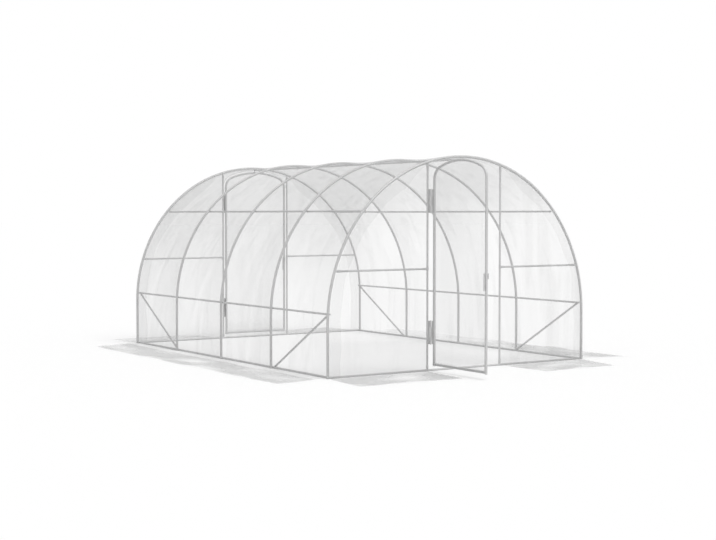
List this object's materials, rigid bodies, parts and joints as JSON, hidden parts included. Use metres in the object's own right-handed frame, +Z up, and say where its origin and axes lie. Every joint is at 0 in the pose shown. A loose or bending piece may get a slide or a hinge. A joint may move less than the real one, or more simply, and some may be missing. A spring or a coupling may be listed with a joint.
{
  "type": "polytunnel greenhouse",
  "caption": "Walk-in polytunnel greenhouse: arched steel tube hoops with rails and braces under clear film with ground flaps, and a hinged, latched film door in each gable.",
  "frame": {"origin": "centre of the footprint, on the ground", "axes": "+Y along the tunnel from the front gable to the back gable, +X to the right seen from the front, +Z up"},
  "size_m": [4.1524, 5.478, 2.0031],
  "materials": {
    "tube": "galvanised",
    "ironwork": "satin",
    "film": "clear polyethylene"
  },
  "bodies": {
    "frame": {"front_hoop": "tube", "front_inner_hoop": "tube", "middle_hoop": "tube", "back_inner_hoop": "tube", "back_hoop": "tube", "left_base_rail": "tube", "right_base_rail": "tube", "front_base_rail": "tube", "back_base_rail": "tube", "left_side_rail": "tube", "right_side_rail": "tube", "left_purlin": "tube", "right_purlin": "tube", "ridge_purlin": "tube", "left_braces": "tube", "right_braces": "tube", "front_left_post": "tube", "front_right_post": "tube", "back_left_post": "tube", "back_right_post": "tube", "front_gable_rails": "tube", "back_gable_rails": "tube", "cover_film": "film", "front_left_film": "film", "front_right_film": "film", "front_head_film": "film", "back_left_film": "film", "back_right_film": "film", "back_head_film": "film", "left_ground_flap": "film", "right_ground_flap": "film", "front_left_flap": "film", "front_right_flap": "film", "back_left_flap": "film", "back_right_flap": "film", "front_hinge_brackets": "ironwork", "back_hinge_brackets": "ironwork"},
    "front_door": {"front_door_frame": "tube", "front_door_film": "film", "front_door_knuckles": "ironwork"},
    "front_latch": {"front_latch": "ironwork"},
    "back_door": {"back_door_frame": "tube", "back_door_film": "film", "back_door_knuckles": "ironwork"},
    "back_latch": {"back_latch": "ironwork"}
  },
  "joints": [
    {"name": "front_door_hinge", "type": "hinge", "parent": "frame", "child": "front_door", "pos_m": [-0.3935, -2.027, 0], "axis": [0, 0, -1], "range_deg": [-91.5, 23.5]},
    {"name": "front_latch_turn", "type": "hinge", "parent": "front_door", "child": "front_latch", "pos_m": [-0.38753, -2.83043, 0.93], "axis": [-0.9997, 0.0262, 0], "range_deg": [0, 90]},
    {"name": "back_door_hinge", "type": "hinge", "parent": "frame", "child": "back_door", "pos_m": [-0.3935, 2.027, 0], "axis": [0, 0, 1], "range_deg": [0, 115]},
    {"name": "back_latch_turn", "type": "hinge", "parent": "back_door", "child": "back_latch", "pos_m": [0.4095, 2, 0.93], "axis": [0, -1, 0], "range_deg": [0, 90]}
  ]
}
